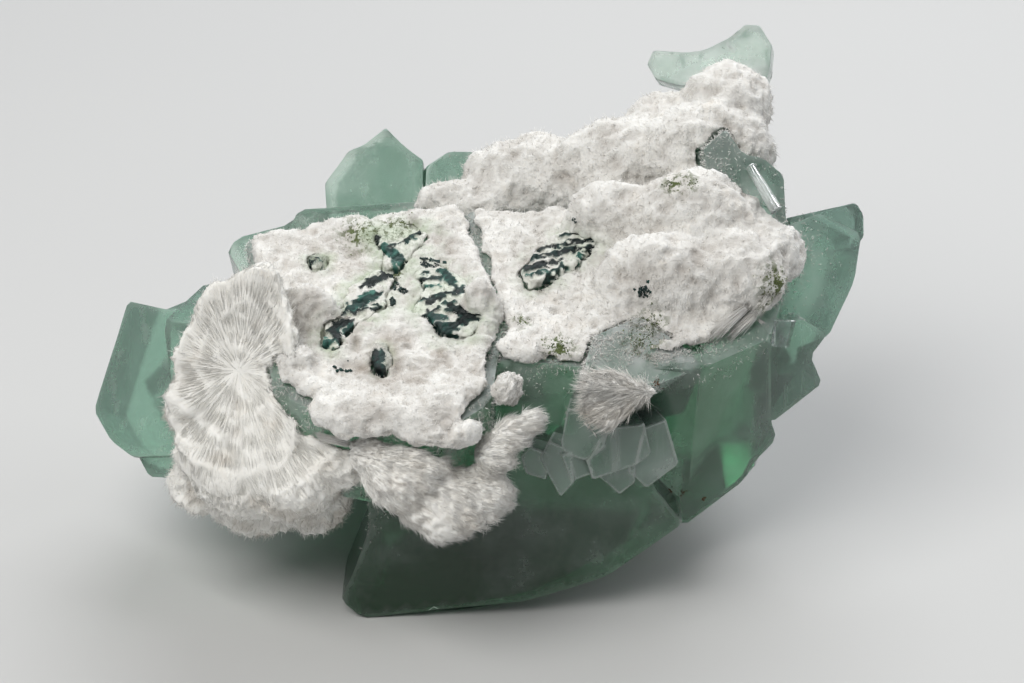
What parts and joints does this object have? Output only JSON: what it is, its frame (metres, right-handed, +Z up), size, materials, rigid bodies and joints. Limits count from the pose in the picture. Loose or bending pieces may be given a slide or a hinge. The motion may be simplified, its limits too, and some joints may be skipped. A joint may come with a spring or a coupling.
{
  "type": "mineral specimen",
  "caption": "Cluster of pale green blocky apophyllite crystals with a white fibrous mordenite crust and dark green celadonite patches.",
  "frame": {"origin": "on the floor under the middle of the specimen's box", "axes": "+X along the specimen's length, towards its clear tip; +Z up; -Y towards the viewer"},
  "size_m": [0.0802, 0.0526, 0.0504],
  "materials": {
    "green_apophyllite": "vitreous, translucent green",
    "frosted_apophyllite": "frosted, translucent pale green",
    "mordenite": "matte white, fibrous and powdery",
    "celadonite": "earthy dark blue-green"
  },
  "bodies": {
    "root": {"apophyllite_cluster": "green_apophyllite", "apophyllite_crest": "frosted_apophyllite", "mordenite_roof_crust": "mordenite", "mordenite_ridge_crust": "mordenite", "mordenite_spray": "mordenite", "mordenite_puff": "mordenite", "mordenite_tuft": "mordenite", "mordenite_nub": "mordenite", "celadonite_vein": "celadonite", "celadonite_arm": "celadonite", "celadonite_lobes": "celadonite", "celadonite_bean": "celadonite", "celadonite_speck": "celadonite", "celadonite_blade": "celadonite", "celadonite_chip": "celadonite"}
  },
  "joints": []
}
